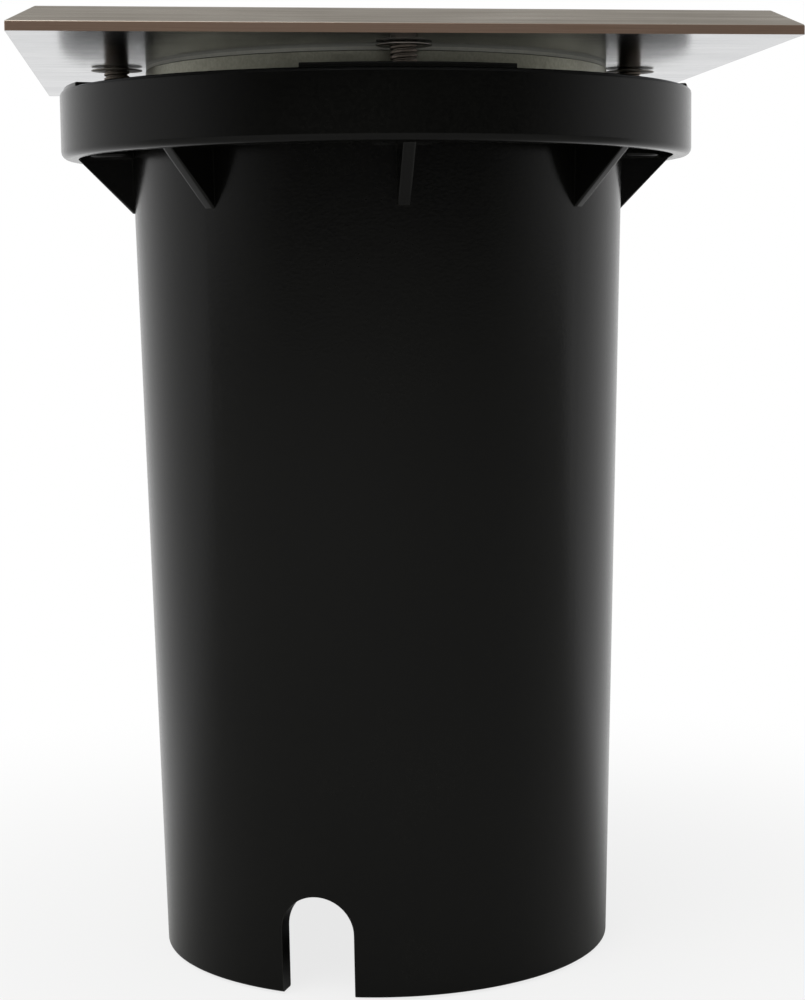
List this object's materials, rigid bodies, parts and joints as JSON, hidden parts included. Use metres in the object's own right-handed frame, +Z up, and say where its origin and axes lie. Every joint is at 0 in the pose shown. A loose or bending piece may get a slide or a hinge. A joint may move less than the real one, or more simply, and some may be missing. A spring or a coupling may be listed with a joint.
{
  "type": "in-ground well light",
  "caption": "Square walk-over ground light: bevelled steel cover and glass over a sealed lamp housing that hangs in a ribbed round installation sleeve.",
  "frame": {"origin": "centre of the sleeve's open foot, which stands on the ground or on the bottom of its hole", "axes": "+Z up through the cover; the front cover screw lies on -Y and the cover's sides are parallel to X and Y"},
  "size_m": [0.11, 0.11, 0.1458],
  "materials": {
    "black_plastic": "satin moulded",
    "brass": "turned",
    "cast_aluminium": "as cast, matt",
    "silicone": "matt translucent",
    "zinc_steel": "zinc plated",
    "white_ceramic": "matt unglazed",
    "white_plastic": "moulded",
    "brown_insulation": "satin",
    "blue_insulation": "satin",
    "green_yellow_insulation": "satin",
    "tinned_copper": "tinned",
    "black_nylon": "moulded",
    "black_rubber": "matt",
    "brushed_stainless": "brushed top, bright underside",
    "clear_glass": "polished, toughened",
    "lamp_aluminium": "satin",
    "lamp_lens": "frosted",
    "led_board": "solder resist",
    "nickel_brass": "nickel plated",
    "screw_steel": "dark stainless"
  },
  "bodies": {
    "sleeve": {"installation_sleeve": "black_plastic", "threaded_inserts": "brass"},
    "housing": {"lamp_housing": "cast_aluminium", "lower_gasket": "silicone", "lampholder_bracket": "zinc_steel", "bracket_screws": "zinc_steel", "lampholder": "white_ceramic", "lampholder_contacts": "brass", "lampholder_screws": "zinc_steel", "terminal_block": "white_plastic", "terminal_clamps": "brass", "terminal_screws": "zinc_steel", "live_lead": "brown_insulation", "neutral_lead": "blue_insulation", "earth_lead": "green_yellow_insulation", "earth_terminal": "tinned_copper", "earth_screw": "zinc_steel", "gland_body": "black_nylon", "gland_washer": "black_rubber", "gland_locknut": "black_nylon"},
    "cover": {"cover_plate": "brushed_stainless", "glass_lens": "clear_glass", "upper_gasket": "silicone"},
    "lamp": {"lamp_shell": "lamp_aluminium", "lamp_lens": "lamp_lens", "lamp_led_board": "led_board", "lamp_base": "white_plastic", "lamp_pins": "nickel_brass"},
    "gland_seal": {"gland_seal": "black_rubber"},
    "gland_nut": {"gland_nut": "black_nylon"},
    "washer_front": {"captive_washer_front": "screw_steel"},
    "screw_front": {"cover_screw_front": "screw_steel"},
    "washer_right": {"captive_washer_right": "screw_steel"},
    "screw_right": {"cover_screw_right": "screw_steel"},
    "washer_back": {"captive_washer_back": "screw_steel"},
    "screw_back": {"cover_screw_back": "screw_steel"},
    "washer_left": {"captive_washer_left": "screw_steel"},
    "screw_left": {"cover_screw_left": "screw_steel"}
  },
  "joints": [
    {"name": "housing_lift", "type": "slide", "parent": "sleeve", "child": "housing", "axis": [0, 0, 1], "range_m": [0, 0.125]},
    {"name": "cover_lift", "type": "slide", "parent": "housing", "child": "cover", "axis": [0, 0, 1], "range_m": [0, 0.065]},
    {"name": "lamp_twist", "type": "hinge", "parent": "housing", "child": "lamp", "pos_m": [0, 0, 0.084], "axis": [0, 0, 1], "range_deg": [0, 20]},
    {"name": "gland_seal_travel", "type": "slide", "parent": "housing", "child": "gland_seal", "axis": [0, 0, -1], "range_m": [0, 0.003]},
    {"name": "gland_nut_turn", "type": "hinge", "parent": "gland_seal", "child": "gland_nut", "pos_m": [0, 0, 0.028], "axis": [0, 0, -1], "range_deg": [0, 720]},
    {"name": "screw_front_rise", "type": "slide", "parent": "cover", "child": "washer_front", "axis": [0, 0, 1], "range_m": [0, 0.0002]},
    {"name": "screw_front_turn", "type": "hinge", "parent": "washer_front", "child": "screw_front", "pos_m": [0, -0.0415, 0.1456], "axis": [0, 0, 1], "range_deg": [0, 102.9]},
    {"name": "screw_right_rise", "type": "slide", "parent": "cover", "child": "washer_right", "axis": [0, 0, 1], "range_m": [0, 0.0002]},
    {"name": "screw_right_turn", "type": "hinge", "parent": "washer_right", "child": "screw_right", "pos_m": [0.0415, 0, 0.1456], "axis": [0, 0, 1], "range_deg": [0, 102.9]},
    {"name": "screw_back_rise", "type": "slide", "parent": "cover", "child": "washer_back", "axis": [0, 0, 1], "range_m": [0, 0.0002]},
    {"name": "screw_back_turn", "type": "hinge", "parent": "washer_back", "child": "screw_back", "pos_m": [0, 0.0415, 0.1456], "axis": [0, 0, 1], "range_deg": [0, 102.9]},
    {"name": "screw_left_rise", "type": "slide", "parent": "cover", "child": "washer_left", "axis": [0, 0, 1], "range_m": [0, 0.0002]},
    {"name": "screw_left_turn", "type": "hinge", "parent": "washer_left", "child": "screw_left", "pos_m": [-0.0415, 0, 0.1456], "axis": [0, 0, 1], "range_deg": [0, 102.9]}
  ],
  "couplings": [
    {"joint": "gland_seal_travel", "follows": "gland_nut_turn", "m_per_rad": 0.00023873},
    {"joint": "screw_front_turn", "follows": "screw_front_rise", "rad_per_m": 8976},
    {"joint": "screw_right_turn", "follows": "screw_right_rise", "rad_per_m": 8976},
    {"joint": "screw_back_turn", "follows": "screw_back_rise", "rad_per_m": 8976},
    {"joint": "screw_left_turn", "follows": "screw_left_rise", "rad_per_m": 8976}
  ]
}
